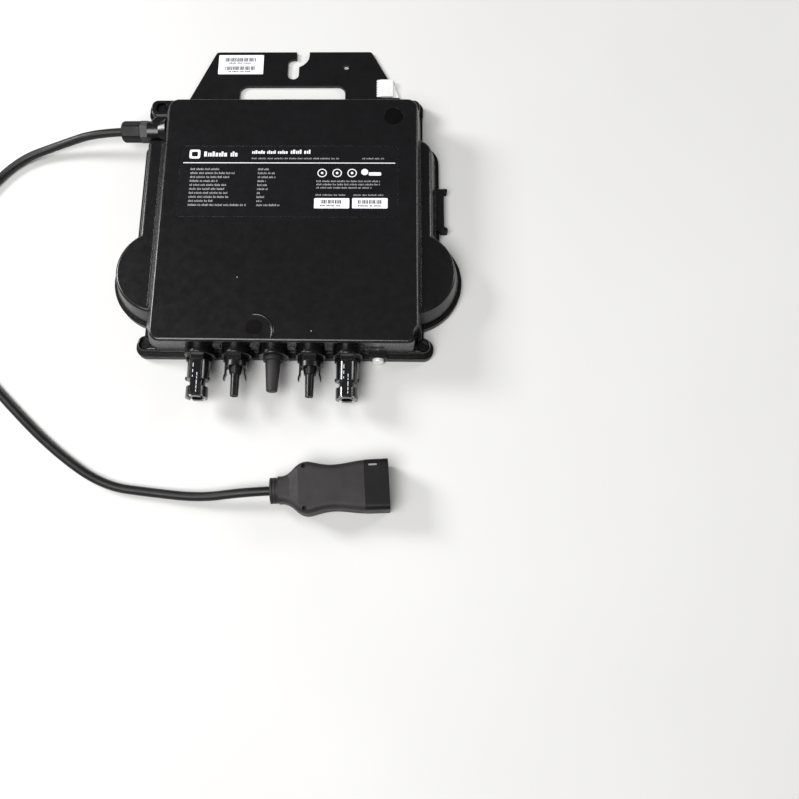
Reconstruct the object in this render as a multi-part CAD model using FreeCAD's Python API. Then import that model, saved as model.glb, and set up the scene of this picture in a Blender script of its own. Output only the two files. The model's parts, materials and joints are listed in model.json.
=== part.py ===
import FreeCAD, Part
import math
import os
from FreeCAD import Vector

# Micro inverter, lying on its back. X runs across it, Y up towards the bracket, Z out of its front.
# The origin is the middle of the back face between the two side lobes. All sizes in millimetres.

# Driving dimensions
WIDTH = 263.0          # over the two side lobes
BOTTOM = -99.0         # lower edge of the back plate
TOP = 119.0            # upper edge of the corner lugs
PLATE = 6.0            # back plate thickness
RIM = 2.8              # width of plate that shows outside the cover
LEDGE = 25.0           # height of the lobes and side ledges
FACE = 39.0            # height of the front face
WALL = 2.5             # moulded wall thickness
LUG = 13.5             # height of the corner lugs
DRAFT_FOOT = 9.0       # where the sloping walls start above the rim

# Side lobes
LOBE_R = 39.2
LOBE_X = WIDTH / 2 - LOBE_R
LOBE_Y = -38.0
LOBE_FOOT_R = 36.2
LOBE_CREST_R = 32.8

# Front face block: left, right, low and high sides at its foot, at the ledges and at the face
FOOT = (-98.8, 101.3, -95.6, 103.2)
WAIST = (-98.2, 99.4, -96.7, 101.2)
CREST = (-92.2, 97.2, -98.0, 98.6)
BLOCK_R = 8.0          # its upright corners

# Label panel, status lens and vent in the front face
LABEL = (-80.4, 82.6, -1.8, 57.4)
LABEL_R = 3.0
LENS = (-17.9, -87.3)
LENS_R = 5.9
VENT = (79.3, 83.1)
VENT_R = 7.1
ARCH_R = 13.2          # raised arch beside the lens
BEAD_R = 1.3

# Fastenings: four screws in wells at the corners, three driven from the back, four in the bracket
CORNER_SCREWS = [(-106.0, 109.0), (94.6, 109.6), (-101.8, -91.2), (101.8, -91.2)]
BACK_SCREWS = [(-122.0, LOBE_Y), (122.0, LOBE_Y), (-5.0, 103.0)]
BRACKET_SCREWS = [(-62.0, 96.0), (-20.0, 96.0), (22.0, 96.0), (62.0, 96.0)]
SCREW_R = 1.75
SCREW_HEAD_R = 3.4
WELL_R = 4.6
WELL_FLOOR = 9.5
SCOOP_R = 8.5          # clearance cut from the block round the lower corner screws

# Bracket sheet, its hanging slot, handle window and earthing hole
SHEET = 2.5
BRACKET_TOP = 170.0
WINDOW = (-45.8, 40.6, 117.0, 137.2)
EARTH_HOLE = (40.9, 155.2)
EARTH_HOLE_R = 2.25
SERIAL = (-65.0, -27.6, 148.6, 167.2)

# Earthing screw in the lower edge of the back plate
EARTH_X = 69.5
EARTH_Z = 4.6

# Row of fittings along the bottom wall
FITTING_X = [-59.5, -32.75, -6.0, 20.75, 47.5]
SHELL_X = [FITTING_X[0], FITTING_X[4]]
PROBE_X = [FITTING_X[1], FITTING_X[3]]
BOOT_X = FITTING_X[2]
FITTING_Z = 19.0
WALL_OUT = -96.6       # outer face of the bottom wall beside the fittings
PAD_OUT = -103.0       # outer face of the round pads under the fittings
PAD_R = 10.6
SHELL_END = -134.2
SHELL_R = 8.0
PROBE_END = -132.3
BOOT_END = -128.6
FINGER_X = 7.0         # finger root, sideways from the probe axis

# Cable gland and AC lead
GLAND_Y = 82.1
GLAND_Z = 20.0
GLAND_FACE = -111.9    # where the hexagonal collar meets the housing
GLAND_NUT = -117.9     # back face of the nut
GLAND_TIP = -132.8
THREAD_START = -130.0
BOSS_R = 8.2
LEAD_R = 3.25
PLUG_POS = Vector(-4.4, -198.5, 12.0)
PLUG_TURN = 3.4        # degrees about Z
LEAD_ROUTE = [
    (-122.0, 82.1, 20.0),
    (-152.0, 82.1, 20.0),
    (-187.0, 78.0, 8.0),
    (-222.0, 66.5, 3.6),
    (-249.5, 30.0, 3.3),
    (-258.0, -15.0, 3.45),
    (-256.0, -60.0, 3.3),
    (-237.5, -100.0, 3.4),
    (-205.0, -133.0, 3.3),
    (-166.0, -169.0, 3.4),
    (-126.0, -195.5, 3.3),
    (-88.0, -200.0, 3.4),
    (-54.0, -203.3, 6.2),
    (-24.4, -199.7, 11.4),
    (-4.4, -198.5, 12.0),
]

# AC connector: stations and half widths of its outline, half heights, and where its parts end
PLUG_OUTLINE = [(6.0, 9.2), (11.0, 9.7), (15.5, 12.5), (19.6, 16.0), (25.2, 18.1), (30.7, 17.3), (36.2, 16.0),
                (41.7, 15.3), (48.7, 15.5), (56.9, 16.6), (65.5, 17.5)]
PLUG_BODY_START = 6.0
PLUG_BODY_END = 65.5
PLUG_END = 82.3
PLUG_BACK_HALF = 9.1
PLUG_HALF = 11.6
PLUG_SCREW = (24.0, 14.6)
CONTACT_Y = (-8.0, 0.0, 8.0)
LATCH = (68.8, 74.4, 12.8, 14.0)

# Circuit board and what stands on it
BOARD = (-84.0, 88.0, -88.0, 92.0)
BOARD_Z = 9.5
BOARD_T = 1.6
BOARD_TOP = BOARD_Z + BOARD_T
STANDOFFS = [(-78.0, -82.0), (82.0, -82.0), (-78.0, 86.0), (82.0, 86.0)]
TRANSFORMERS_X = (-42.0, 42.0)
TRANSISTORS_X = (-70, -50, -30, -10, 14, 34, 54, 74)

os.makedirs("parts", exist_ok=True)


def save(name, shape):
    """Write one node, as one clean solid or a compound of solids."""
    solids = shape.Solids
    shape = solids[0] if len(solids) == 1 else Part.makeCompound(solids)
    shape.exportStep("parts/" + name + ".step")
    print(name, len(solids), round(shape.Volume), shape.isValid())


def box(x0, x1, y0, y1, z0, z1):
    return Part.makeBox(x1 - x0, y1 - y0, z1 - z0, Vector(x0, y0, z0))


def rod(x, y, z, radius, length, axis=(0, 0, 1)):
    return Part.makeCylinder(radius, length, Vector(x, y, z), Vector(*axis))


def ring(x, y, z, outer, inner, length, axis=(0, 0, 1)):
    return rod(x, y, z, outer, length, axis).cut(rod(x, y, z, inner, length, axis))


def hexagon(x, y, z, flats, length, axis):
    """Hexagonal prism with its centre line through the point, along the axis."""
    radius = flats / math.sqrt(3)
    corners = [Vector(radius * math.cos(a), radius * math.sin(a), 0)
               for a in [math.radians(60 * i) for i in range(7)]]
    prism = Part.Face(Part.makePolygon(corners)).extrude(Vector(0, 0, length))
    turn = FreeCAD.Rotation(Vector(0, 0, 1), Vector(*axis))
    prism.Placement = FreeCAD.Placement(Vector(x, y, z), turn)
    return prism


def fuse(shapes):
    shapes = list(shapes)
    return shapes[0].multiFuse(shapes[1:]).removeSplitter() if len(shapes) > 1 else shapes[0]


def rounded_wire(x0, x1, y0, y1, r, z):
    """Closed outline of a rectangle with round corners at height z."""
    edges = []
    h = r * math.sqrt(0.5)
    for cx, cy, sx, sy, turn in ((x1 - r, y0 + r, 1, -1, 1), (x1 - r, y1 - r, 1, 1, 0),
                                 (x0 + r, y1 - r, -1, 1, 1), (x0 + r, y0 + r, -1, -1, 0)):
        along_y = Vector(cx, cy + sy * r, z)
        along_x = Vector(cx + sx * r, cy, z)
        start, end = (along_y, along_x) if turn else (along_x, along_y)
        if edges:
            edges.append(Part.makeLine(edges[-1].Vertexes[-1].Point, start))
        edges.append(Part.Arc(start, Vector(cx + sx * h, cy + sy * h, z), end).toShape())
    edges.append(Part.makeLine(edges[-1].Vertexes[-1].Point, edges[0].Vertexes[0].Point))
    return Part.Wire(edges)


def slab(x0, x1, y0, y1, r, z0, z1):
    face = Part.Face(rounded_wire(x0, x1, y0, y1, r, z0))
    return face.extrude(Vector(0, 0, z1 - z0))


def drafted(foot, crest, r_foot, r_crest, z0, z1):
    """Block whose walls slope evenly from one rounded rectangle to a smaller one above it."""
    low = rounded_wire(*foot, r_foot, z0)
    high = rounded_wire(*crest, r_crest, z1)
    return Part.makeLoft([low, high], True, True)


def polygon(points, z0, z1):
    corners = [Vector(x, y, z0) for x, y in points]
    return Part.Face(Part.makePolygon(corners + corners[:1])).extrude(Vector(0, 0, z1 - z0))


def top_edges(shape, z):
    return [e for e in shape.Edges if all(abs(v.Z - z) < 0.01 for v in e.Vertexes)]


def footprint(inset, z0, z1):
    """The whole outline of the housing, drawn in by an even inset."""
    i = inset

    def pad(x0, x1, y0, y1, r):
        return slab(x0, x1, y0, y1, max(r - i, 0.6), z0, z1)

    pieces = [
        pad(-104.5 + i, 103.0 - i, BOTTOM + i, 112.0 - i, 7.0),
        pad(-116.9 + i, -60.0, -60.0, 77.2 - i, 4.5),
        pad(-113.0 + i, -60.0, 60.0, 94.0 - i, 4.5),
        pad(60.0, 115.4 - i, -60.0, 79.5 - i, 17.0),
        pad(-117.0 + i, -80.0 - i, 100.0 + i, TOP - i, 7.0),
        pad(80.0 + i, 103.6 - i, 100.0 + i, TOP - i, 7.0),
        pad(-110.0 + i, -80.0, BOTTOM + i, -83.5 - i, 7.0),
        pad(80.0, 110.0 - i, BOTTOM + i, -83.5 - i, 7.0),
    ]
    for side in (-1, 1):
        pieces.append(rod(side * LOBE_X, LOBE_Y, z0, LOBE_R - i, z1 - z0))
    return fuse(pieces)


def gasket_ring(outer, inner, z0, z1):
    return footprint(outer, z0, z1).cut(footprint(inner, z0, z1))


def back_screw(x, y):
    """Countersunk screw driven up through the back plate into the cover."""
    head = Part.makeCone(SCREW_HEAD_R, SCREW_R, 2.0, Vector(x, y, 0))
    return head.fuse(rod(x, y, 2.0, SCREW_R, 8.8))


def corner_screw(x, y):
    """Pan-headed screw in the well of a corner lug, driven down into the back plate."""
    head = rod(x, y, WELL_FLOOR, 3.2, 2.2)
    slot = box(x - 2.2, x + 2.2, y - 0.45, y + 0.45, WELL_FLOOR + 1.2, WELL_FLOOR + 3.0)
    return head.cut(slot).fuse(rod(x, y, 1.2, SCREW_R, WELL_FLOOR - 1.2))


def cover_screws():
    return [corner_screw(x, y) for x, y in CORNER_SCREWS] + [back_screw(x, y) for x, y in BACK_SCREWS]


def bracket_screw(x, y):
    head = Part.makeCone(3.2, 1.6, 1.8, Vector(x, y, 0))
    return head.fuse(rod(x, y, 1.8, 1.6, 3.4))


# ---------------------------------------------------------------- bracket

def bracket_blank():
    """Tapering sheet: narrow at the top, full width where it enters the back plate."""
    sheet = polygon([(-66.8, BRACKET_TOP), (61.6, BRACKET_TOP), (75.2, 144.0), (86.5, 122.0),
                     (88.0, 116.0), (88.0, 86.0), (-90.0, 86.0), (-90.0, 118.0), (-87.0, 124.0)], 0, SHEET)
    corners = [e for e in sheet.Edges if e.Length < SHEET + 0.1 and e.CenterOfMass.y > BRACKET_TOP - 0.1]
    return sheet.makeFillet(3.0, corners)


def hook_slot():
    """Hanging slot for the rail bolt: open mouth, sideways step, then a round-ended leg."""
    leg = slab(-7.3, 2.0, 143.7, 163.0, 4.6, -1, SHEET + 1)
    step = polygon([(-4.0, 163.0), (-4.0, 156.0), (2.0, 155.6), (5.2, 157.2), (8.2, 160.2), (9.8, 163.2),
                    (10.3, 166.4), (10.3, 172.0), (-0.2, 172.0), (-0.2, 163.0)], -1, SHEET + 1)
    return leg.fuse(step)


def bracket():
    sheet = bracket_blank()
    cuts = [hook_slot(), slab(*WINDOW, 7.0, -1, SHEET + 1), rod(*EARTH_HOLE, -1, EARTH_HOLE_R, SHEET + 2),
            box(69.5, 90.0, 126.0, 142.6, -1, SHEET + 1)]
    cuts += [bracket_screw(x, y) for x, y in BRACKET_SCREWS]
    cuts += [back_screw(x, y) for x, y in BACK_SCREWS]
    return sheet.cut(Part.makeCompound(cuts))


def earthing_clip():
    """Folded strip that grips the bracket edge, with teeth on its upper leg and a bent-out tab."""
    top = box(69.2, 79.6, 126.6, 142.6, SHEET, SHEET + 1.1)
    lip = box(67.0, 69.2, 126.6, 142.6, SHEET, SHEET + 0.6)
    fold = box(78.7, 79.6, 126.4, 142.2, 0.3, SHEET)
    low = box(70.2, 78.7, 126.4, 142.2, 0.3, 1.2)
    teeth = [polygon([(67.0, y), (66.0, y + 1.0), (67.0, y + 2.0)], SHEET, SHEET + 0.6)
             for y in [126.6 + 2.3 * i for i in range(7)]]
    tab = polygon([(79.6, 141.8), (84.4, 126.4), (79.6, 126.4)], 1.0, 1.9)
    return fuse([top, lip, fold, low, tab] + teeth)


# ---------------------------------------------------------------- housing

def earth_block(grow):
    """Thicker part of the back plate that takes the earthing screw."""
    return box(EARTH_X - 6.5 - grow, EARTH_X + 6.5 + grow, BOTTOM - grow, -88.0 + grow, 0, 9.2 + grow)


def back_plate():
    plate = fuse([footprint(0.0, 0.0, PLATE), earth_block(0.0)])
    plate = plate.cut(bracket_blank().fuse(bracket_blank().translated(Vector(0, 0, -1))))
    plate = plate.cut(gasket_ring(4.2, 6.0, PLATE - 1.2, PLATE + 4))
    plate = plate.cut(box(113.2, 120.0, 5.6, 38.0, -1, 1.6))
    for screw in cover_screws():
        plate = plate.cut(screw)
    for x, y in BRACKET_SCREWS:
        plate = plate.cut(rod(x, y, 0, 1.6, 5.2))
    return plate.cut(rod(EARTH_X, BOTTOM - 1, EARTH_Z, 2.0, 4.6, (0, 1, 0)))


def lobe_block(side, shrink, z0, z1):
    """Sloping round lobe on one side; shrink draws the whole block in for the hollow."""
    centre = Vector(side * LOBE_X, LOBE_Y, z0)
    return Part.makeCone(LOBE_FOOT_R - shrink, LOBE_CREST_R - shrink, z1 - z0, centre)


def ledge_blocks(shrink, z0, z1):
    s = shrink
    left = drafted((-113.8 + s, -60, -60, 74.6 - s), (-109.8 + s, -60, -60, 72.2 - s), 4.0, 4.0, z0, z1)
    right = drafted((60, 112.4 - s, -60, 76.6 - s), (60, 108.4 - s, -60, 72.8 - s), 14.0, 12.0, z0, z1)
    return [left, right]


def soften(shape, z, radius):
    """Round the top edge of a block."""
    return shape.makeFillet(radius, top_edges(shape, z))


def drawn_in(sides, d):
    """The four sides of a rectangle, all moved in by the same distance."""
    return (sides[0] + d, sides[1] - d, sides[2] + d, sides[3] - d)


def face_block(shrink, foot, top):
    """Upright part up to the ledges, then the part that slopes in to the front face."""
    r = BLOCK_R - shrink
    low = drafted(drawn_in(FOOT, shrink), drawn_in(WAIST, shrink), r, r, foot, LEDGE)
    high = drafted(drawn_in(WAIST, shrink), drawn_in(CREST, shrink), r, r, LEDGE, top)
    return low, high


def foot_rolls():
    """Sloping strips where the face block rises from the ledges and lobes."""
    left, right = WAIST[0], WAIST[1]
    rolls = []
    for points in ([(left - 1.5, LEDGE - 0.2), (left + 1.2, LEDGE - 0.2), (left + 1.2, LEDGE + 2.2)],
                   [(right + 1.2, LEDGE - 0.2), (right - 1.2, LEDGE - 0.2), (right - 1.2, LEDGE + 2.2)]):
        corners = [Vector(x, LOBE_Y - 28.0, z) for x, z in points]
        face = Part.Face(Part.makePolygon(corners + corners[:1]))
        rolls.append(face.extrude(Vector(0, 136.0, 0)))
    return rolls


def corner_scoops(radius):
    """Upright cylinders that keep the face block clear of the two lower corner screws."""
    return [rod(x, y, LUG, radius, FACE) for x, y in CORNER_SCREWS if y < 0]


def cover_outside():
    blocks = [footprint(RIM, PLATE, DRAFT_FOOT + 0.5)]
    for side in (-1, 1):
        blocks.append(soften(lobe_block(side, 0, DRAFT_FOOT, LEDGE), LEDGE, 2.2))
    blocks += [soften(block, LEDGE, 3.4) for block in ledge_blocks(0, DRAFT_FOOT, LEDGE)]
    low, high = face_block(0, DRAFT_FOOT, FACE)
    blocks += [low, soften(high, FACE, 2.0)] + foot_rolls()
    body = fuse(blocks).cut(Part.makeCompound(corner_scoops(SCOOP_R)))
    return fuse([body, gland_boss()] + corner_lugs() + fitting_pads() + wall_marks())


def corner_lugs():
    lugs = []
    for x0, x1, y0, y1 in ((-114.2, -88, 101.5, TOP - RIM), (84, 100.8, 101.5, TOP - RIM),
                           (-107.4, -88, BOTTOM + RIM, -85.0), (88, 107.4, BOTTOM + RIM, -85.0)):
        lugs.append(soften(slab(x0, x1, y0, y1, 5.2, PLATE, LUG), LUG, 1.4))
    return lugs


def gland_boss():
    """Shoulder that carries the gland: flat-topped towards the corner, round below."""
    length = -90.0 - GLAND_FACE
    barrel = rod(GLAND_FACE, GLAND_Y, GLAND_Z, BOSS_R, length, (1, 0, 0))
    flare = Part.makeCone(BOSS_R, BOSS_R + 2.6, 6.0, Vector(-103.0, GLAND_Y, GLAND_Z), Vector(1, 0, 0))
    foot = box(-110.0, -90.0, GLAND_Y - BOSS_R, GLAND_Y + BOSS_R, PLATE, GLAND_Z)
    shoulder = polygon([(-109.5, GLAND_Y), (-109.5, GLAND_Y + 5.0), (-105.5, GLAND_Y + 9.4),
                        (-88.0, GLAND_Y + 10.4), (-88.0, GLAND_Y)], PLATE, GLAND_Z + BOSS_R)
    shoulder = soften(shoulder, GLAND_Z + BOSS_R, 2.4)
    return fuse([barrel, flare, foot, shoulder])


def fitting_pads():
    """Round pads on the bottom wall, one under each fitting."""
    pads = []
    for x in FITTING_X:
        pad = rod(x, PAD_OUT, FITTING_Z + 1.0, PAD_R, 12.0, (0, 1, 0))
        rim = [e for e in pad.Edges if abs(e.CenterOfMass.y - PAD_OUT) < 0.01]
        pad = pad.makeFillet(1.0, rim)
        stem = box(x - PAD_R, x + PAD_R, PAD_OUT + 1.2, -92.0, DRAFT_FOOT, FITTING_Z + 1.0)
        pads.append(pad.fuse(stem).common(box(x - 12, x + 12, -110, -92.5, DRAFT_FOOT, FACE)))
    return pads


def wall_marks():
    """Small raised blocks on the wall between the fittings."""
    middles = [(a + b) / 2 for a, b in zip(FITTING_X, FITTING_X[1:])]
    return [box(x - 2.6, x + 2.6, WALL_OUT - 1.6, WALL_OUT + 1.0, 22.5, 28.0) for x in middles]


def cover_hollow():
    inside = list(face_block(WALL, PLATE, FACE - WALL))
    inside = [fuse(inside).cut(Part.makeCompound(corner_scoops(SCOOP_R + WALL)))]
    for side in (-1, 1):
        inside.append(lobe_block(side, WALL, PLATE, LEDGE - WALL))
    inside += ledge_blocks(WALL, PLATE, LEDGE - WALL)
    return fuse(inside)


def arch_bead():
    """Raised bead in a quarter arch, from above the status lens down to the middle pad."""
    x, y = LENS[0], LENS[1] - 3.5
    bead = Part.makeTorus(ARCH_R, BEAD_R, Vector(x, y, FACE - 0.4))
    keep = polygon([(x, y), (x - 2.0, y + 18), (x + 18, y + 18), (x + 18, y - 5.0), (x + 8, y - 5.0)],
                   FACE - 0.6, FACE + 2)
    return bead.common(keep)


def cover():
    shell = cover_outside().fuse(arch_bead())
    cuts = [cover_hollow(), slab(*LABEL, LABEL_R, FACE - 0.4, FACE + 1),
            rod(*VENT, FACE - 1.4, VENT_R, 3), rod(*VENT, FACE - 4, 3.0, 4),
            rod(*LENS, FACE - 0.9, LENS_R, 3), rod(*LENS, FACE - 4, 2.0, 4),
            rod(-120.0, GLAND_Y, GLAND_Z, 5.1, 32.0, (1, 0, 0)), earth_block(0.3),
            box(58.7, 73.6, WALL_OUT - 2.0, WALL_OUT + 0.9, 21.8, 28.8)]
    for x in FITTING_X:
        bore = 5.0 if x == BOOT_X else 6.4
        cuts.append(rod(x, PAD_OUT - 1, FITTING_Z, bore, 14.0, (0, 1, 0)))
    cuts += [rod(x, y, WELL_FLOOR, WELL_R, 12.0) for x, y in CORNER_SCREWS]
    cuts += cover_screws()
    shell = shell.cut(Part.makeCompound(cuts))
    posts = fuse([rod(x, y, PLATE, 4.2, 7.0) for x, y in BACK_SCREWS])
    posts = posts.cut(Part.makeCompound([back_screw(x, y) for x, y in BACK_SCREWS]))
    return shell.fuse(posts).removeSplitter()


def rating_label():
    return slab(*drawn_in(LABEL, 0.3), LABEL_R - 0.3, FACE - 0.4, FACE - 0.1)


def vent_plug():
    return rod(*VENT, FACE - 1.4, VENT_R - 0.1, 1.0).fuse(rod(*VENT, FACE - 4.4, 2.9, 3.0))


def earth_screw():
    head = rod(EARTH_X, BOTTOM - 2.6, EARTH_Z, 4.2, 2.6, (0, 1, 0))
    head = head.makeFillet(1.0, [e for e in head.Edges if abs(e.CenterOfMass.y - (BOTTOM - 2.6)) < 0.01])
    slot = box(EARTH_X - 3.2, EARTH_X + 3.2, BOTTOM - 3, BOTTOM - 1.6, EARTH_Z - 0.5, EARTH_Z + 0.5)
    return head.cut(slot).fuse(rod(EARTH_X, BOTTOM, EARTH_Z, 2.0, 3.6, (0, 1, 0)))


def side_clip():
    """Snap-on cable clip on the edge of the back plate, with flared ends."""
    top = box(112.9, 119.0, 3.9, 39.6, PLATE, PLATE + 2.4)
    wall = box(116.3, 119.0, 5.6, 38.0, 0.4, PLATE + 2.4)
    low = box(113.4, 116.4, 5.6, 38.0, 0.4, 1.6)
    ends = []
    for y, grow in ((3.9, 1.6), (37.6, 0.0)):
        outline = [(116.3, y), (121.6, y), (121.6, y + 2.0), (119.0, y + 2.0 + grow), (116.3, y + 2.0 + grow)]
        ends.append(polygon(outline, 1.0, PLATE + 2.4))
    return fuse([top, wall, low] + ends)


# ---------------------------------------------------------------- gland, lead and AC connector

def gland_body():
    collar = hexagon(GLAND_NUT + 0.3, GLAND_Y, GLAND_Z, 14.6, GLAND_FACE - GLAND_NUT - 0.3, (1, 0, 0))
    thread = rod(THREAD_START, GLAND_Y, GLAND_Z, 5.6, GLAND_NUT - THREAD_START + 1.0, (1, 0, 0))
    stem = rod(GLAND_FACE - 0.1, GLAND_Y, GLAND_Z, 5.0, 22.0, (1, 0, 0))
    bore = rod(-140.0, GLAND_Y, GLAND_Z, 3.9, 60.0, (1, 0, 0))
    return fuse([collar, thread, stem]).cut(bore)


def gland_nut():
    """Round-nosed hexagonal nut that squeezes the seal on the lead."""
    length = GLAND_NUT - GLAND_TIP
    nose = rod(GLAND_TIP, GLAND_Y, GLAND_Z, 8.1, length, (1, 0, 0))
    nose = nose.makeFillet(3.0, [e for e in nose.Edges if abs(e.CenterOfMass.x - GLAND_TIP) < 0.01])
    body = hexagon(GLAND_TIP, GLAND_Y, GLAND_Z, 14.6, length, (1, 0, 0)).common(nose)
    bore = rod(-140.0, GLAND_Y, GLAND_Z, LEAD_R + 0.05, 12.0, (1, 0, 0))
    space = rod(THREAD_START - 0.1, GLAND_Y, GLAND_Z, 5.65, 14.0, (1, 0, 0))
    return body.cut(Part.makeCompound([bore, space]))


def gland_seal():
    return ring(THREAD_START + 0.1, GLAND_Y, GLAND_Z, 3.85, LEAD_R + 0.02, 7.8, (1, 0, 0))


def rounded_route(points):
    """Straight runs joined by the largest tangent arcs that the runs allow."""
    pts = [Vector(*p) for p in points]
    edges = []
    here = pts[0]
    radii = []
    for before, corner, after in zip(pts, pts[1:], pts[2:]):
        back = before - corner
        ahead = after - corner
        turn = math.pi - back.getAngle(ahead)
        reach = 0.45 * min(back.Length, ahead.Length)
        radii.append(reach / math.tan(turn / 2))
        back.normalize()
        ahead.normalize()
        start = corner + back * reach
        end = corner + ahead * reach
        middle = back + ahead
        middle.normalize()
        centre = corner + middle * math.hypot(reach, radii[-1])
        mid = centre - middle * radii[-1]
        edges.append(Part.LineSegment(here, start).toShape())
        edges.append(Part.Arc(start, mid, end).toShape())
        here = end
    edges.append(Part.LineSegment(here, pts[-1]).toShape())
    return Part.Wire(edges), radii


def lead():
    path, radii = rounded_route(LEAD_ROUTE)
    start = Vector(*LEAD_ROUTE[0])
    along = Vector(*LEAD_ROUTE[1]) - start
    section = Part.Wire(Part.makeCircle(LEAD_R, start, along))
    tube = path.makePipeShell([section], True, False)
    print("lead radii", [round(r) for r in radii], "length", round(path.Length),
          "volume ratio", round(tube.Volume / (math.pi * LEAD_R ** 2 * path.Length), 4))
    return tube


def place_plug(shape):
    shape.Placement = FreeCAD.Placement(PLUG_POS, FreeCAD.Rotation(Vector(0, 0, 1), PLUG_TURN))
    return shape


def oval(x, half_width, half_height, roundness=0.55):
    """Rounded-rectangle section across the connector axis."""
    corner = half_height * roundness
    wire = rounded_wire(-half_width, half_width, -half_height, half_height, corner, 0)
    turn = FreeCAD.Rotation(Vector(0, 1, 0), Vector(0, 0, 1), Vector(1, 0, 0), "ZXY")
    wire.Placement = FreeCAD.Placement(Vector(x, 0, 0), turn)
    return wire


def oval_block(first, last, roundness=0.55):
    """Straight block between two sections, each a station with its half width and half height."""
    return Part.makeLoft([oval(*first, roundness), oval(*last, roundness)], True, True)


def plug_blank():
    """Waisted body: the outline seen from above, met by the outline seen from the side."""
    sides = []
    for sign in (1, -1):
        side = Part.BSplineCurve()
        side.interpolate([Vector(x, sign * half, -20) for x, half in PLUG_OUTLINE])
        sides.append(side.toShape())
    ends = [Part.makeLine(Vector(x, half, -20), Vector(x, -half, -20))
            for x, half in (PLUG_OUTLINE[0], PLUG_OUTLINE[-1])]
    seen_above = Part.Face(Part.Wire([sides[0], ends[1], sides[1], ends[0]]))
    start, end, back, half = PLUG_BODY_START, PLUG_BODY_END, PLUG_BACK_HALF, PLUG_HALF
    profile = [(start, -back), (14, -back), (20, -half), (end, -half), (end, half), (20, half), (14, back),
               (start, back), (start, -back)]
    seen_sideways = Part.Face(Part.makePolygon([Vector(x, -30, z) for x, z in profile]))
    blank = seen_above.extrude(Vector(0, 0, 40)).common(seen_sideways.extrude(Vector(0, 60, 0)))
    rims = [e for e in blank.Edges
            if e.Length > 3 and abs(e.CenterOfMass.y) > 8 and abs(e.CenterOfMass.z) > back - 0.5]
    return blank.makeFillet(4.4, rims)


def plug_body():
    skin = plug_blank()
    cavity = oval_block((36.0, 12.4, 8.6), (PLUG_BODY_END + 1.0, 14.4, 9.0))
    cuts = [rod(5.0, 0, 0, 6.0, 24.0, (1, 0, 0)), plug_screws(), cavity]
    cuts += [rod(PLUG_SCREW[0], y, 8.2, 1.5, 5.0) for y in (-PLUG_SCREW[1], PLUG_SCREW[1])]
    return skin.cut(Part.makeCompound(cuts))


def plug_screws():
    """Two small screws sunk in deep holes near the shoulders."""
    screws = []
    for y in (-PLUG_SCREW[1], PLUG_SCREW[1]):
        screws.append(rod(PLUG_SCREW[0], y, 6.6, 1.45, 1.6).fuse(rod(PLUG_SCREW[0], y, -4.0, 0.9, 10.6)))
    return Part.makeCompound(screws)


def plug_collar():
    """Ribbed rear collar that holds the lead."""
    barrel = rod(0.0, 0, 0, PLUG_BACK_HALF, PLUG_BODY_START, (1, 0, 0))
    spigot = rod(PLUG_BODY_START, 0, 0, 5.9, 20.0, (1, 0, 0))
    grooves = [ring(x, 0, 0, PLUG_BACK_HALF + 1, PLUG_BACK_HALF - 0.6, 0.7, (1, 0, 0)) for x in (1.6, 3.8)]
    bore = rod(-1.0, 0, 0, LEAD_R + 0.05, 30.0, (1, 0, 0))
    return barrel.fuse(spigot).cut(Part.makeCompound(grooves + [bore]))


def latch_window(grow):
    return box(LATCH[0] - grow, LATCH[1] + grow, LATCH[2] - grow, LATCH[3] + grow, 5.0, 13.0)


def plug_shroud():
    """Front shroud round the socket, open at the end, with a latch window on top."""
    start, end = PLUG_BODY_END, PLUG_END
    outer = oval_block((start, 17.6, 11.7), (end, 17.8, 11.9), 0.32)
    inner = oval_block((start, 15.4, 9.2), (end, 15.6, 9.4), 0.32)
    return outer.cut(Part.makeCompound([inner, latch_window(0.2)]))


def plug_core():
    """Socket insert with three contact holes; its flange closes the back of the shroud."""
    end = PLUG_BODY_END
    flange = oval_block((end - 4.0, 14.0, 8.5), (end, 14.0, 8.5))
    block = oval_block((end, 12.4, 6.4), (end + 9.0, 12.4, 6.4))
    holes = [rod(50.0, y, 0, 2.2, 40.0, (1, 0, 0)) for y in CONTACT_Y]
    return flange.fuse(block).cut(Part.makeCompound(holes))


def plug_contacts():
    tubes = [ring(PLUG_BODY_END - 12.0, y, 0, 2.15, 1.5, 19.0, (1, 0, 0)) for y in CONTACT_Y]
    return Part.makeCompound(tubes)


def plug_seal():
    start, end = PLUG_BODY_END + 1.0, PLUG_BODY_END + 4.0
    outer = oval_block((start, 14.2, 8.2), (end, 14.2, 8.2))
    return outer.cut(oval_block((start - 0.1, 12.45, 6.45), (end + 0.1, 12.45, 6.45)))


def plug_latches():
    """Pale latch tooth seen in the window of the shroud."""
    return latch_window(0.0).common(box(60, 90, -20, 20, 9.7, 11.6))


# ---------------------------------------------------------------- DC fittings

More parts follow.
